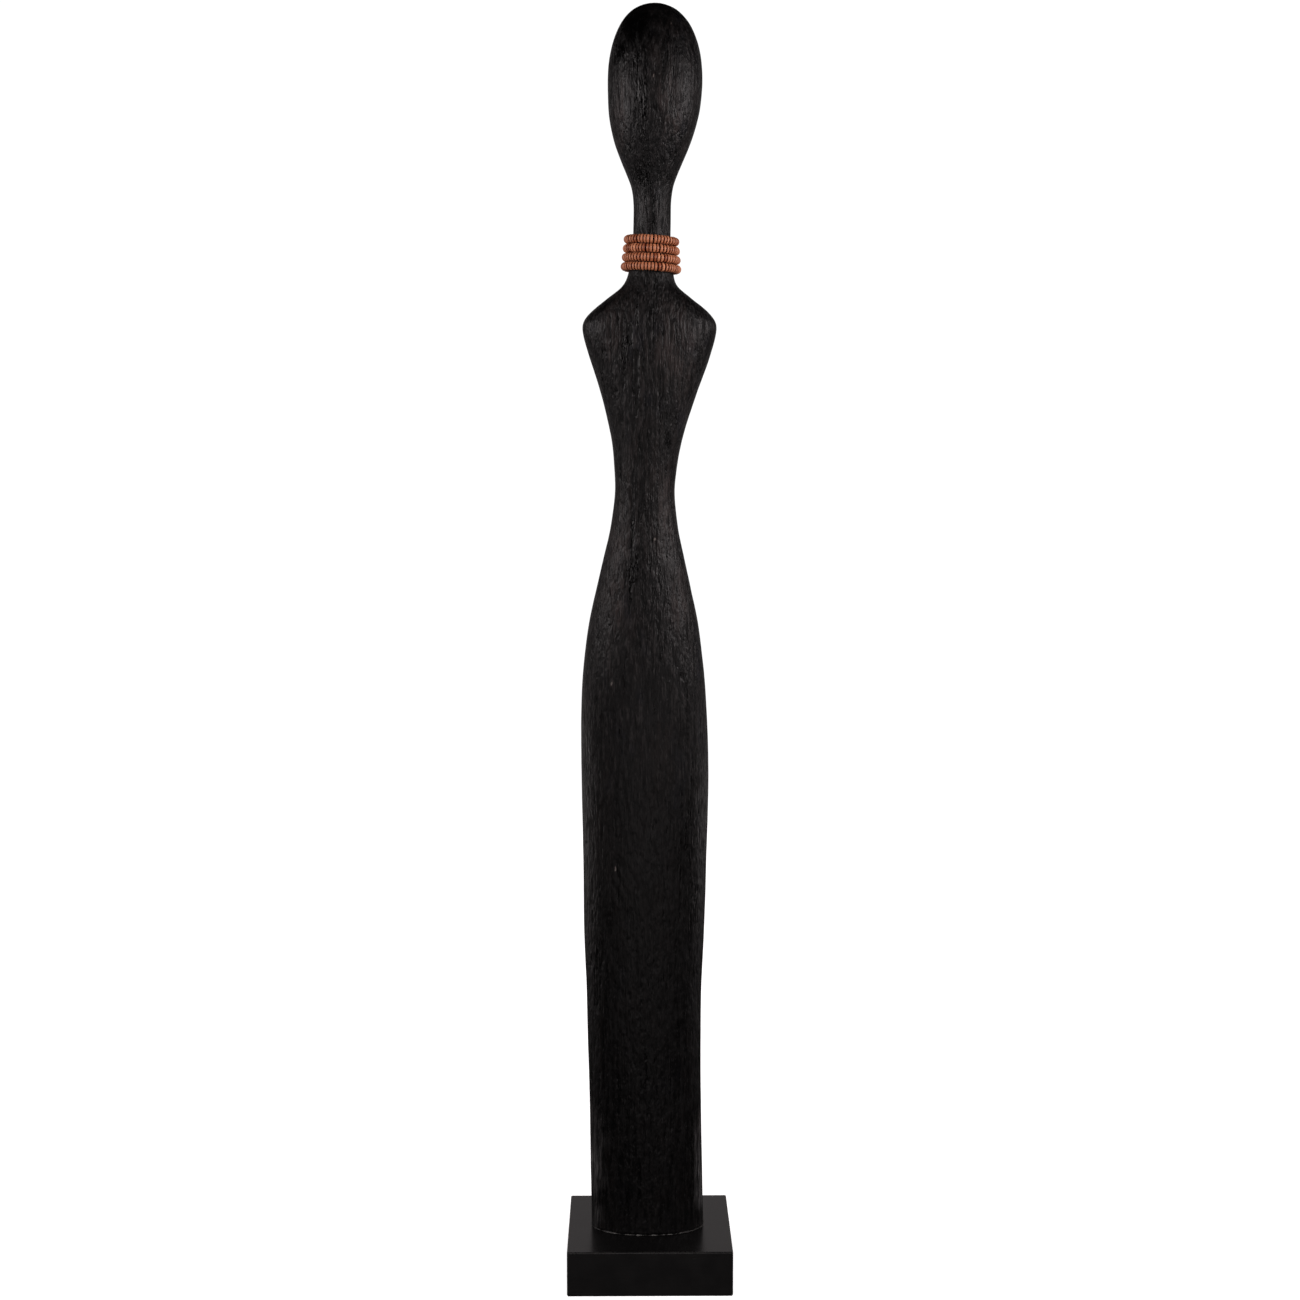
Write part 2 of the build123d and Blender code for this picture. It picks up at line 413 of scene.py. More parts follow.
def check_depth(point, facing):
    """How deep the drying checks are at a point, fading at their ends and edges."""
    x, y, z = point
    depth = 0.0
    for across, low, high, half, deep in CHECKS:
        if facing < 0 and low < z < high:
            wander = 1.2 * noise.noise(Vector((across, 0, z / 14)))
            edge = max(0.0, 1 - abs(x - across - wander) / half)
            end = math.sin(math.pi * (z - low) / (high - low))
            depth += deep * edge * edge * (3 - 2 * edge) * min(1.0, 2 * end)
    return depth


ways_out = outward(grid)
relief = np.array([[strokes_at(p) for p in row] for row in grid])
checks = np.array([[check_depth(p, n[1]) for p, n in zip(row, ns)] for row, ns in zip(grid, ways_out)])
fade = np.ones(len(grid))
fade[-CROWN_FADE:] = np.linspace(1, 0.2, CROWN_FADE)
carved = grid + ways_out * (relief * fade[:, None] - checks)[:, :, None]
print("relief from", relief.min().round(2), "to", relief.max().round(2), "mm")
print("checks up to", checks.max().round(2), "mm deep")

# %% [markdown]
# ## The carved figure's mesh
# The foot stands flat on the plinth, so its lowest row stays at one height. Two threaded holes come up into
# it where the plinth's screws have cut their way. Their shape is read from the solid model with level rays
# from each screw's axis. The flat face is filled between the outline and the holes, so the mesh is closed
# and could be cut open anywhere.

# %% Screw holes in the foot
HOLE_COLUMNS = 24
HOLE_STEP = 0.65

screws_low, screws_high = node_box("plinth_screws")
hole_top = screws_high.z
head_radius = (screws_high.y - screws_low.y) / 2
screw_axes = [screws_low.x + head_radius, screws_high.x - head_radius]


def hole_radius(axis_x, height):
    """The hole's radius at one height, millimetres."""
    hit = wood.ray_cast(Vector((axis_x, 0, height)) * MM, Vector((0, 1, 0)))[0]
    return hit.y / MM


def hole_points(axis_x):
    """Rings of points up one screw hole from the foot's face, then its tip."""
    heights = np.arange(foot + HAIR, hole_top - 0.3, HOLE_STEP)
    points = []
    for height in heights:
        radius = hole_radius(axis_x, height)
        for column in range(HOLE_COLUMNS):
            turn = 2 * math.pi * column / HOLE_COLUMNS
            points.append((axis_x + radius * math.cos(turn), radius * math.sin(turn), height))
    return points + [(axis_x, 0, hole_top)], len(heights)


holes = [hole_points(axis_x) for axis_x in screw_axes]
print("holes", len(holes), "each with", holes[0][1], "rings up to", round(hole_top - foot, 1), "mm deep")

# %% Closing the mesh
def fan(ring_first, columns, tip, outwards=True):
    """Triangles from a ring of points to one point."""
    faces = []
    for column in range(columns):
        here, beside = ring_first + column, ring_first + (column + 1) % columns
        faces.append((here, beside, tip) if outwards else (beside, here, tip))
    return faces


carved[0, :, 2] = foot + HAIR
points = [tuple(p) for p in carved.reshape(-1, 3)]
faces = ring_faces(len(carved), COLUMNS)
points.append(tuple(crown_tip))
faces += fan((len(carved) - 1) * COLUMNS, COLUMNS, len(points) - 1)
borders, border_numbers = [carved[0]], list(range(COLUMNS))
for ring_points, rings in holes:
    first = len(points)
    points += ring_points
    walls = ring_faces(rings, HOLE_COLUMNS, first)
    faces += [face[::-1] for face in walls]
    faces += fan(first + (rings - 1) * HOLE_COLUMNS, HOLE_COLUMNS, len(points) - 1, outwards=False)
    borders.append(ring_points[:HOLE_COLUMNS])
    border_numbers += range(first, first + HOLE_COLUMNS)
for corners in geometry.tessellate_polygon([[Vector(p) for p in border] for border in borders]):
    a, b, c = (border_numbers[i] for i in corners)
    faces.append((c, b, a))
print("figure", len(points), "points", len(faces), "faces")

# %% [markdown]
# ## Stained and brushed wood
# The stain is a thin black dye over brown wood, rubbed with a little wax. It is never one black: where the
# cloth took some off it goes brown, where it lies thick it goes cold, and each fibre holds it a bit
# differently. So the finish has wide patches, streaks a millimetre or two wide that run up and down, and
# hair-fine fibres. The same streaks also change the roughness and the bump, which is what the eye reads as
# brushed wood in the sheen.
#
# Some marks have their own places, so each point of the mesh carries a number, "tone". It is 1 where a
# scraped spot shows pale wood. It is about a third in lighter patches, which are partly stain thinned by
# handling and partly painted highlights where the sheens fall. It is below 0 in darker patches of painted
# shade. It is lowest in the drying checks, which are painted dark as shade and hold dull dust that makes
# them rougher. The skirt and the left of the crown are painted darker, as shade.

# %% The figure's finish
DYE_AND_SHADE_BLACK = (0.0010, 0.0009, 0.0009)

stain = Finish("black stain on brushed wood", Specular_IOR_Level=0.145)
patches = stain.grain(26, 70, shift=4.1)
blots = stain.grain(7, 16, detail=3, rough=0.6, shift=31.0)
streaks = stain.grain(3.0, 44, detail=3, rough=0.65, shift=1.7)
dimples = stain.grain(2.8, 7, detail=2, rough=0.6, shift=14.2)
grooves = stain.grain(2.2, 17, detail=2, rough=0.55, shift=52.0)
lines = stain.grain(1.2, 15, detail=2, rough=0.6, shift=8.3)
side_to_side = stain.node("SeparateXYZ", None, {0: stain.place()}, "X")
height = stain.node("SeparateXYZ", None, {0: stain.place()}, "Z")
# Painted shade: the skirt darker towards the bottom, and the crown darker, more on its left
skirt_shade = height.step(520, 300)
crown = (height - side_to_side * 0.9).step(948, 985)
# Painted highlight: the lighter patches near the foot turn pale grey
foot_highlight = height.step(200, 70)
cold = stain.grain(15, 34, shift=21.0).step(0.56, 0.70)
rubbed = (patches.step(0.46, 0.66) * streaks.step(0.40, 0.62)).clamped()
tone = stain.node("Attribute", {"attribute_name": "tone"}, None, "Fac")
# Lighter patches: partly thinned stain, partly painted highlight
handled_and_highlight = tone.step(0.03, 0.30) * lines.step(0.30, 0.66)
scraped = tone.step(0.40, 0.6) * lines.step(0.36, 0.5)
# Painted shade: the darker patches and the drying checks, where the tone is below 0
thick = (tone * -1.0).step(0.02, 0.28)
dusty = (tone * -1.0).step(0.35, 0.7)
pits = (grooves.step(0.44, 0.33) * 0.8 + blots.step(0.42, 0.32) * 0.5).clamped()
hue = stain.mix(rubbed * 0.8, (0.0026, 0.0024, 0.0025), (0.0085, 0.0062, 0.0056))
hue = stain.mix(cold * 0.6, hue, (0.0040, 0.0044, 0.0068))
hue = stain.mix(lines.step(0.46, 0.62) * dimples.step(0.40, 0.58) * 0.8, hue, (0.0230, 0.0203, 0.0204))
# Painted shade on the skirt and the crown
hue = stain.mix((skirt_shade + crown) * 0.75, hue, (0.0014, 0.0013, 0.0013))
# Near the foot the lighter patches are pale grey: painted highlights on the foot's flanks
thinned_and_highlight_hue = stain.mix(foot_highlight, (0.0240, 0.0180, 0.0170), (0.0840, 0.0820, 0.0830))
hue = stain.mix(handled_and_highlight, hue, thinned_and_highlight_hue)
hue = stain.mix(streaks.step(0.52, 0.36) * 0.9, hue, (0.0012, 0.0011, 0.0011))
hue = stain.mix(pits * 0.8, hue, DYE_AND_SHADE_BLACK)
# Painted shade: the darker patches and the checks go black
hue = stain.mix(thick, hue, DYE_AND_SHADE_BLACK)
hue = stain.mix(scraped, hue, (0.110, 0.098, 0.090))
worn_smooth = streaks * 0.46 + lines * 0.22 + blots * 0.40 + patches * 0.16
gloss = (worn_smooth + pits * 0.4 - 0.24) * (1.0 - thick * 0.42) + dusty * 0.3
carving_marks = stain.bump(dimples, 0.9, stain.bump(blots, 0.9, stain.bump(streaks, 0.8)))
stain.surface(Base_Color=hue, Roughness=gloss, Normal=stain.bump(lines, 0.5, carving_marks))
print("stain nodes", len(stain.tree.nodes))

# %% The carved figure
# Scraped spots: (across, height, half width, half height), millimetres, on the front
SCRAPES = [
    (4.1, 590.0, 0.6, 1.4), (-29.5, 478.0, 0.7, 1.6), (-26.6, 332.0, 0.7, 1.4),
    (16.5, 981.0, 0.5, 0.9), (2.8, 941.0, 0.5, 0.9),
]
# Places where handling has thinned the stain: (across, height, half width, half height), on the front
# Lighter patches: (across, height, half width, half height), on the front. They are partly stain thinned by
# handling and partly painted highlights where the sheens fall; the two at the foot's flanks are painted
# highlights only
THINNED_AND_HIGHLIGHT = [
    (16.0, 918.0, 13.0, 34.0), (-22.0, 922.0, 9.0, 34.0), (19.0, 738.0, 22.0, 42.0),
    (-28.0, 745.0, 12.0, 28.0), (13.0, 612.0, 12.0, 52.0), (-24.0, 585.0, 11.0, 32.0),
    (-25.0, 542.0, 9.0, 34.0), (22.0, 540.0, 10.0, 30.0), (-43.0, 90.0, 9.0, 62.0),
    (43.0, 90.0, 9.0, 62.0),
]
# Darker patches of painted shade, given the same way, where the finish is also smoother
SHADED_PATCHES = [
    (-5.5, 918.0, 6.5, 42.0), (-9.0, 980.0, 15.0, 18.0), (-24.0, 962.0, 9.0, 15.0),
    (-6.0, 866.0, 13.0, 15.0), (-20.0, 728.0, 9.0, 17.0), (-9.5, 706.0, 3.6, 32.0),
    (-10.5, 566.0, 5.0, 28.0), (14.0, 668.0, 5.0, 16.0),
]
# The tone in the middle of each kind of patch
THINNED_AND_HIGHLIGHT_TONE = 0.35
SHADED_TONE = -0.30


def patch_depth(point, patches):
    """How far a point lies inside the deepest of some ragged oval patches, 0 outside to 1 inside."""
    ragged = 0.5 * noise.noise(Vector((point[0] / 6, 0, point[2] / 18)))
    inside = 0.0
    for across, height, half_wide, half_tall in patches:
        away = math.hypot((point[0] - across) / half_wide, (point[2] - height) / half_tall)
        inside = max(inside, min(1.0, 1.1 - away + ragged))
    return inside


def front_tone(point, facing):
    """A point's tone from the marks on the front: up to 1 in a scraped spot, 0 where there is none."""
    if facing > 0:
        return 0.0
    # Lighter patches raise the tone, partly as painted highlight; darker patches lower it, as painted shade
    tone = THINNED_AND_HIGHLIGHT_TONE * patch_depth(point, THINNED_AND_HIGHLIGHT) + SHADED_TONE * patch_depth(point, SHADED_PATCHES)
    for across, height, half_wide, half_tall in SCRAPES:
        away = math.hypot((point[0] - across) / half_wide, (point[2] - height) / half_tall)
        tone = max(tone, min(1.0, 1.6 - away))
    return tone


tones = [front_tone(p, n[1]) for row, ns in zip(carved, ways_out) for p, n in zip(row, ns)]
# The checks lower the tone, which paints shade in them
tones = np.concatenate([np.array(tones) - checks.reshape(-1), np.zeros(len(points) - checks.size)])
make_piece(
    "wooden_figure", points, faces, stain, "figure", "carved_figure", tones=tones
)

# %% [markdown]
# ## Painted plinth
# The plinth is a block with softened edges, so the solid model's own mesh keeps its shape and only needs a
# finish: satin black paint put on with a brush. Brush marks run from left to right, the paint pools and
# thins over a few centimetres, and it is rubbed grey-brown along the sharp edges. The four sides are
# painted a little greyer than the top, as painted light. How close a point is to an edge comes from its own
# coordinates: near an edge, two of its three distances to the faces are small at once.

# %% The plinth's finish
paint = Finish("satin black paint", Specular_IOR_Level=0.30)
pools = paint.grain(16, 16, shift=3.3)
brushed = paint.node(
    "VectorMath", {"operation": "MULTIPLY"}, {0: paint.place(), 1: (1 / 60, 1 / 1.3, 1 / 1.3)}
)
marks = paint.node("TexNoise", None, {"Vector": brushed, "Scale": 1.0, "Detail": 3.0}, "Fac")
specks = paint.grain(1.1, 1.1, detail=1, shift=5.0)
across = paint.node("SeparateXYZ", None, {0: paint.place()}, "X").math("ABSOLUTE")
deep = paint.node("SeparateXYZ", None, {0: paint.place()}, "Y").math("ABSOLUTE")
high = paint.node("SeparateXYZ", None, {0: paint.place()}, "Z")
to_side = across.step(plinth_high.x - 2.0, plinth_high.x - 0.2)
to_front = deep.step(plinth_high.y - 2.0, plinth_high.y - 0.2)
to_top = high.step(plinth_high.z - 2.0, plinth_high.z - 0.2)
on_edge = to_side * to_front + to_side * to_top + to_front * to_top
worn = (on_edge * (pools.step(0.42, 0.62) * 0.9 + 0.1) * specks.step(0.35, 0.6)).clamped()
# Painted light: the four sides are lighter than the top
sides = (to_side + to_front).clamped()
top_coat = paint.mix(pools.step(0.35, 0.65), (0.0026, 0.0025, 0.0025), (0.0034, 0.0033, 0.0033))
painted_side_light = paint.mix(pools.step(0.35, 0.65), (0.0086, 0.0085, 0.0085), (0.0104, 0.0102, 0.0101))
coat = paint.mix(sides, top_coat, painted_side_light)
coat = paint.mix(specks.step(0.72, 0.80) * 0.5, coat, (0.014, 0.013, 0.012))
coat = paint.mix(worn * 0.3, coat, (0.016, 0.013, 0.012))
sheen = pools * 0.08 + marks * 0.08 + worn * 0.2 + 0.16
ridges = paint.bump(marks, 0.012, paint.bump(pools, 0.05))
paint.surface(Base_Color=coat, Roughness=sheen, Normal=paint.bump(specks, 0.02, ridges))
plinth_node = frame["nodes"]["plinth"]
plinth_node.data.materials[0] = paint.material
print("plinth faces", len(plinth_node.data.polygons))

# %% [markdown]
# ## Screws, glue and felt
# Two zinc-plated screws come up through the plinth. Their heads sit in recesses and are seen only from
# below, so the solid model's screws stay and get a finish with the faint yellow and blue cast of plating.

# %% The screws' finish
zinc = Finish("zinc plating", Metallic=1.0)
cast = zinc.grain(2.2, 2.2, shift=2.0)
scratches = zinc.grain(0.35, 0.35, detail=3, shift=6.0)
plating = zinc.mix(cast.step(0.4, 0.6), (0.50, 0.50, 0.47), (0.42, 0.45, 0.50))
zinc.surface(Base_Color=plating, Roughness=scratches * 0.25 + 0.24, Normal=zinc.bump(scratches, 0.02))
frame["nodes"]["plinth_screws"].data.materials[0] = zinc.material
print("screw finish ready")

# %% [markdown]
# The glue is what was squeezed out when the foot was screwed down: a thin uneven bead that was wiped with a
# finger. It climbs the wood a little, runs out on the paint, and is paler along the front, in broken
# dashes. It is built as a strip that follows the foot's outline, with its height and its reach changing
# along the way.

# %% Glue line
GLUE_ROWS = 5
GLUE_STEPS = 3
GLUE_HIGH = 0.9
GLUE_WIDE = 1.05
# How far the bead tucks in under the wood's edge
GLUE_TUCK = 0.12

glue = Finish("dried glue", Specular_IOR_Level=0.4)
crumbs = glue.grain(1.5, 1.5, detail=3, rough=0.65, shift=1.0)
front_paleness = glue.node("Attribute", {"attribute_name": "tone"}, None, "Fac")
pale_dashes = front_paleness.step(0.25, 0.70) * crumbs.step(0.34, 0.56)
glue_hue = glue.mix(pale_dashes, (0.008, 0.007, 0.007), (0.115, 0.115, 0.110))
glue.surface(Base_Color=glue_hue, Roughness=crumbs * 0.3 + 0.5, Normal=glue.bump(crumbs, 0.12))

foot_edge, foot_ways = carved[0], ways_out[1].copy()
foot_ways[:, 2] = 0
foot_ways /= np.linalg.norm(foot_ways, axis=1, keepdims=True)
columns = COLUMNS * GLUE_STEPS
between = np.arange(columns) / GLUE_STEPS
left, share = between.astype(int), (between % 1)[:, None]
right = (left + 1) % COLUMNS
edge = foot_edge[left] * (1 - share) + foot_edge[right] * share
ways = foot_ways[left] * (1 - share) + foot_ways[right] * share
wave = np.array([noise.noise(Vector(p) / 6.0) + 0.6 * noise.noise(Vector(p) / 2.0) for p in edge])
lump = np.clip(0.60 + 1.1 * wave, 0.12, 1.0)[:, None]
glue_points = []
for row in range(GLUE_ROWS):
    sweep = math.pi / 2 * row / (GLUE_ROWS - 1)
    out = GLUE_WIDE * (1 - math.cos(sweep)) * lump - GLUE_TUCK * (row == 0)
    up = GLUE_HIGH * (1 - math.sin(sweep)) * lump
    strip = edge + ways * out
    strip[:, 2] = plinth_high.z + up[:, 0]
    glue_points.append(strip)
inner = edge - ways * GLUE_TUCK
inner[:, 2] = plinth_high.z
glue_points.append(inner)
# The bead is paler along the front, in broken dashes
in_front = [max(0.0, 1 - abs(p[0]) / 37) * (w[1] < -0.4) for p, w in zip(edge, ways)]
patchy = [0.55 + 1.8 * noise.noise(Vector((p[0] / 5.0, 3.3, 0))) for p in edge]
glue_tones = np.tile([f * n + 0.25 * n for f, n in zip(in_front, patchy)], GLUE_ROWS + 1)
strip_faces = [face[::-1] for face in ring_faces(GLUE_ROWS + 1, columns, closed_rows=True)]
make_piece(
    "glue_bead", np.concatenate(glue_points), strip_faces, glue, "figure", "glue_line",
    tones=glue_tones,
)

# %% [markdown]
# A thin sheet of black wool felt is glued under the whole plinth. It keeps the paint off the table and
# hides the screws. Its cut edge is soft: the border is a row of close points, moved in by up to an eighth
# of a millimetre, and the rim is rounded a little above and below.

# %% Felt sheet
FELT_GRID = 48
FELT_WEAR = 0.12

felt = Finish("pressed wool felt", Specular_IOR_Level=0.15, Sheen_Weight=0.15, Sheen_Roughness=0.6)
fluff = felt.grain(0.5, 0.5, detail=3, rough=0.7, shift=1.0)
clumps = felt.grain(3.0, 3.0, shift=2.0)
wool = felt.mix(fluff * 0.7 + clumps * 0.3, (0.004, 0.004, 0.004), (0.020, 0.019, 0.018))
felt.surface(Base_Color=wool, Roughness=0.95, Normal=felt.bump(fluff, 0.25))

felt_low, felt_high = node_box("felt_sheet")
felt_half = felt_high.x
felt_thick = felt_high.z - felt_low.z
border = []
for side in range(4):
    for step in range(FELT_GRID):
        along = -1 + 2 * step / FELT_GRID
        spot = Matrix.Rotation(math.pi / 2 * side, 2) @ Vector((along, -1))
        border.append(spot * felt_half)
# The sheet's edge from below to above: (distance past the border, share of the thickness)
felt_profile = [
    (-4.0, 0.0), (-FELT_WEAR, 0.0), (0.0, 0.25), (0.0, 0.75), (-FELT_WEAR, 1.0), (-4.0, 1.0),
]
felt_points = []
for inset, level in felt_profile:
    for spot in border:
        inwards = spot * (1 + (inset - chance.uniform(0, FELT_WEAR)) / felt_half)
        felt_points.append((inwards.x, inwards.y, felt_thick * level))
middle_low, middle_high = len(felt_points), len(felt_points) + 1
felt_points += [(0, 0, 0), (0, 0, felt_thick)]
felt_faces = ring_faces(len(felt_profile), len(border))
felt_faces += fan(0, len(border), middle_low, outwards=False)
felt_faces += fan(middle_low - len(border), len(border), middle_high)
make_piece("thin_felt_sheet", felt_points, felt_faces, felt, "figure", "felt_sheet")

# %% [markdown]
# ## Coconut-shell discs
# Discs like these are sawn from coconut shell, drilled, strung tight and ground round together on a wheel.
# So they share one diameter to within half a millimetre, but each has its own thickness and colour. The
# rims are slightly softened, and on the string they lean in groups. One mesh per row is enough. Each disc
# is a small lathed ring with a hole. Its own colour number, lowered by painted shade on the faces that meet
# its neighbours, goes to its points as "tone".

# %% Shell finish
shell = Finish("coconut shell", Specular_IOR_Level=0.45)
tone_and_shade = shell.node("Attribute", {"attribute_name": "tone"}, None, "Fac")
flecks = shell.grain(0.5, 0.5, detail=2, rough=0.6, shift=3.0)
bands = shell.grain(1.4, 1.4, detail=2, shift=9.0)
warm = shell.mix(tone_and_shade, (0.31, 0.087, 0.033), (0.72, 0.295, 0.15))
warm = shell.mix(bands.step(0.52, 0.70) * 0.35, warm, (0.60, 0.28, 0.16))
warm = shell.mix(flecks.step(0.40, 0.30) * 0.5, warm, (0.070, 0.020, 0.009))
# Painted shade: the faces between the discs go dark red-brown
warm = shell.mix(tone_and_shade.step(0.15, -0.45), warm, (0.150, 0.022, 0.006))
shell.surface(
    Base_Color=warm, Roughness=flecks * 0.2 + 0.36, Normal=shell.bump(flecks, 0.04, shell.bump(bands, 0.06))
)

# %% One disc
DISC_COLUMNS = 22
DISC_RADIUS = 3.35
DISC_HOLE_RADIUS = 0.9
# Painted shade: how far each ring of a disc's profile is darkened, from the hole round to the hole, so the
# faces that meet the neighbouring discs go dark
DISC_SHADE = [1.2, 1.2, 1.1, 0.9, 0.35, 0.0, 0.35, 0.9, 1.1, 1.2, 1.2]


def disc(radius, thick):
    """Points of a lathed disc about the X axis, ring by ring, with a slightly uneven rim."""
    half = thick / 2
    profile = [
        (-half + 0.08, DISC_HOLE_RADIUS), (-half, DISC_HOLE_RADIUS + 0.1), (-half - 0.03, radius * 0.6),
        (-half + 0.05, radius - 0.45), (-half + 0.24, radius - 0.12), (0.0, radius),
        (half - 0.24, radius - 0.12), (half - 0.05, radius - 0.45), (half + 0.03, radius * 0.6),
        (half, DISC_HOLE_RADIUS + 0.1), (half - 0.08, DISC_HOLE_RADIUS),
    ]
    phase = chance.uniform(0, 6.28)
    rings = []
    for along, out in profile:
        for column in range(DISC_COLUMNS):
            turn = 2 * math.pi * column / DISC_COLUMNS
            ragged = 0.03 * math.sin(2 * turn + phase) + 0.02 * math.sin(5 * turn + 2 * phase)
            far = out + ragged * (out > 2)
            rings.append(Vector((along, far * math.cos(turn), far * math.sin(turn))))
    return rings, len(profile)


sample_points, sample_rings = disc(DISC_RADIUS, 1.7)
print("a disc has", len(sample_points), "points in", sample_rings, "rings")

# %% Four rows of discs
# How many discs each row has, from the top row down
COUNTS = [48, 49, 51, 53]
LEAN = math.radians(3.5)
WEDGE = 0.16

turn_joints = {joint["child"]: joint for joint in frame["joints"] if joint["type"] == "hinge"}


def ring_frame(row):
    """A row's middle, its axis, two directions across it and the thread's centre-line radius."""
    joint = turn_joints["row_" + str(row)]
    middle, axis = Vector(joint["pos_m"]) / MM, Vector(joint["axis"]).normalized()
    deep = Vector((0, 1, 0))
    wide = deep.cross(axis)
    low, high = node_box("thread_row_" + str(row))
    return middle, axis, wide, deep, (high.y - low.y) / 2 - 0.5


def string_row(row, count):
    """All the discs of one row, with their own thickness, spacing, lean and colour."""
    middle, axis, wide, deep, ring_radius = ring_frame(row)
    thicknesses = [chance.uniform(1.75, 2.05) for _ in range(count)]
    slack = 2 * math.pi * ring_radius - sum(thicknesses)
    gaps = [chance.choice((0.6, 0.8, 0.9, 1.0, 1.5)) for _ in range(count)]
    gaps = [gap * slack / sum(gaps) for gap in gaps]
    row_points, row_faces, row_tones = [], [], []
    place = 0.0
    for number in range(count):
        place += thicknesses[number] / 2
        angle = place / ring_radius
        place += thicknesses[number] / 2 + gaps[number]
        out = wide * math.cos(angle) + deep * math.sin(angle)
        along = axis.cross(out)
        spin = Matrix.Rotation(chance.uniform(0, 6.28), 3, "X")
        lean_out = LEAN * noise.noise(Vector((math.cos(angle) * 2.5, math.sin(angle) * 2.5, row)))
        lean_up = LEAN * noise.noise(Vector((math.cos(angle) * 2.5, math.sin(angle) * 2.5, row + 40)))
        turned = Matrix.Rotation(lean_out, 3, "Z") @ Matrix.Rotation(lean_up, 3, "Y") @ spin
        seat = Matrix((along, -out, axis)).transposed()
        heart = middle + out * ring_radius
        rings, rounds = disc(DISC_RADIUS + chance.uniform(-0.22, 0.03), thicknesses[number])
        first = len(row_points)
        for point in rings:
            turned_point = turned @ point
            turned_point.x *= 1 - WEDGE * turned_point.y / DISC_RADIUS
            row_points.append(heart + seat @ turned_point)
        walls = ring_faces(rounds, DISC_COLUMNS, first, closed_rows=True)
        row_faces += [face[::-1] for face in walls]
        own_tone = min(1.0, max(0.1, chance.gauss(0.55, 0.22)))
        # Each ring's tone is the disc's own colour less its painted shade
        for shade in DISC_SHADE:
            row_tones += [own_tone - shade] * DISC_COLUMNS
    make_piece(
        "shell_discs_row_" + str(row), row_points, row_faces, shell, "row_" + str(row),
        "beads_row_" + str(row), tones=row_tones,
    )


for row, count in enumerate(COUNTS, 1):
    string_row(row, count)

# %% [markdown]
# ## The threads
# Each row hangs on a waxed cotton thread of two strands twisted together. It shows in the small gaps
# between discs, so the twist is really modelled: two thin tubes wind round one ring.

# %% Two-strand threads
STRANDS = 2
STRAND_RADIUS = 0.25
TWISTS = 38
STEPS_A_TWIST = 8
STRAND_SIDES = 6

cotton = Finish("waxed cotton", Specular_IOR_Level=0.3)
hairs = cotton.grain(0.18, 0.18, detail=2, shift=4.0)
thread_hue = cotton.mix(hairs, (0.170, 0.036, 0.012), (0.260, 0.065, 0.026))
cotton.surface(Base_Color=thread_hue, Roughness=hairs * 0.2 + 0.6, Normal=cotton.bump(hairs, 0.04))


def twist_thread(row):
    """Two strands wound round one row's ring."""
    middle, axis, wide, deep, ring_radius = ring_frame(row)
    steps = TWISTS * STEPS_A_TWIST
    thread_points, thread_faces = [], []
    for strand in range(STRANDS):
        first = len(thread_points)
        for step in range(steps):
            angle = 2 * math.pi * step / steps
            wind = TWISTS * angle + math.pi * strand
            out = wide * math.cos(angle) + deep * math.sin(angle)
            core = middle + out * ring_radius
            core += (out * math.cos(wind) + axis * math.sin(wind)) * STRAND_RADIUS
            for side in range(STRAND_SIDES):
                turn = 2 * math.pi * side / STRAND_SIDES
                thread_points.append(core + (out * math.cos(turn) + axis * math.sin(turn)) * STRAND_RADIUS)
        thread_faces += ring_faces(steps, STRAND_SIDES, first, closed_rows=True)
    make_piece(
        "twisted_thread_row_" + str(row), thread_points, thread_faces, cotton, "threads",
        "thread_row_" + str(row),
    )


for row in range(1, len(COUNTS) + 1):
    twist_thread(row)

# %% [markdown]
# ## The table and the backdrop
# The set is white all over, so the figure stands in plain light. The table is a wide disc that glows,
# more the further out it is, and takes a faint shadow near the plinth. The backdrop is a large dome around
# everything. Both are seen by the camera and throw no light on the figure, so only the lamps decide the
# sheen.

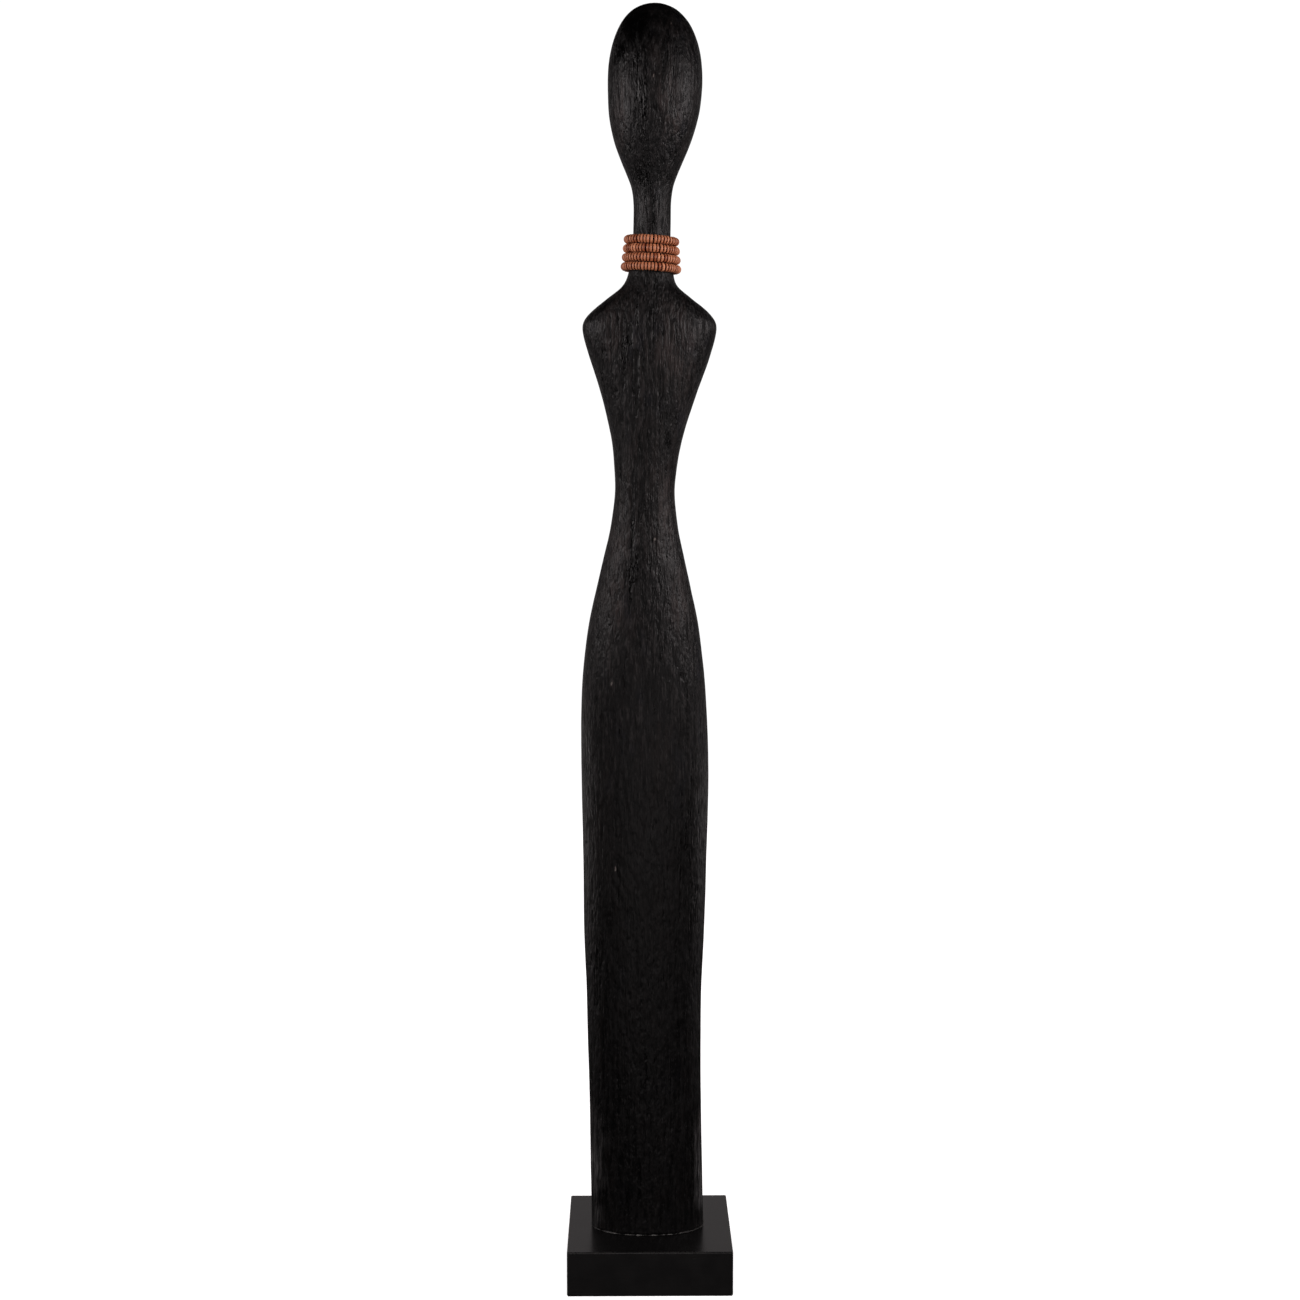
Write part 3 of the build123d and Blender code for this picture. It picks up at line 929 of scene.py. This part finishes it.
# %% Table and backdrop
SHEET_STEPS = 96
FULL_WHITE = 1.05
GLOW_NEAR = 0.80
# The table's glow rises between these two distances from the middle
NEAR = 150
FAR = 900
TABLE_RADIUS = 7000
DOME_RADIUS = 6500
# A hair below the felt, so the two never share a plane
TABLE_LEVEL = -0.05


def turned_sheet(name, profile, colour, glow):
    """A large sheet turned from (radius, height) pairs in millimetres, with a glowing finish."""
    sheet_points = [(0, 0, profile[0][1])]
    for radius, height in profile:
        for step in range(SHEET_STEPS):
            turn = 2 * math.pi * step / SHEET_STEPS
            sheet_points.append((radius * math.cos(turn), radius * math.sin(turn), height))
    sheet_faces = [(0, 1 + step, 1 + (step + 1) % SHEET_STEPS) for step in range(SHEET_STEPS)]
    sheet_faces += [face[::-1] for face in ring_faces(len(profile), SHEET_STEPS, 1)]
    white = Finish(name, Specular_IOR_Level=0.0, Roughness=0.9, Emission_Strength=1.0)
    cloud = white.grain(900, 900)
    away = white.node("VectorMath", {"operation": "LENGTH"}, {0: white.place()}, 1)
    white.surface(
        Base_Color=white.mix(cloud, colour, tuple(c * 0.98 for c in colour)),
        Emission_Color=white.mix(away.step(NEAR, FAR), (glow,) * 3, (FULL_WHITE,) * 3),
    )
    mesh = bpy.data.meshes.new(name)
    mesh.from_pydata([Vector(p) * MM for p in sheet_points], [], sheet_faces)
    mesh.polygons.foreach_set("use_smooth", [True] * len(mesh.polygons))
    mesh.materials.append(white.material)
    sheet = bpy.data.objects.new(name, mesh)
    bpy.context.scene.collection.objects.link(sheet)
    sheet.visible_diffuse = False
    sheet.visible_glossy = False
    return sheet


table_profile = [(radius, TABLE_LEVEL) for radius in (400, 1500, TABLE_RADIUS)]
turned_sheet("table", table_profile, (0.8, 0.8, 0.8), GLOW_NEAR)
dome_profile = [(DOME_RADIUS * math.sin(a), DOME_RADIUS * math.cos(a)) for a in np.linspace(0.08, 1.75, 24)]
backdrop = turned_sheet("backdrop", dome_profile, (0.0, 0.0, 0.0), FULL_WHITE)
backdrop.visible_shadow = False
backdrop.visible_transmission = False
print("stage pieces", 2)
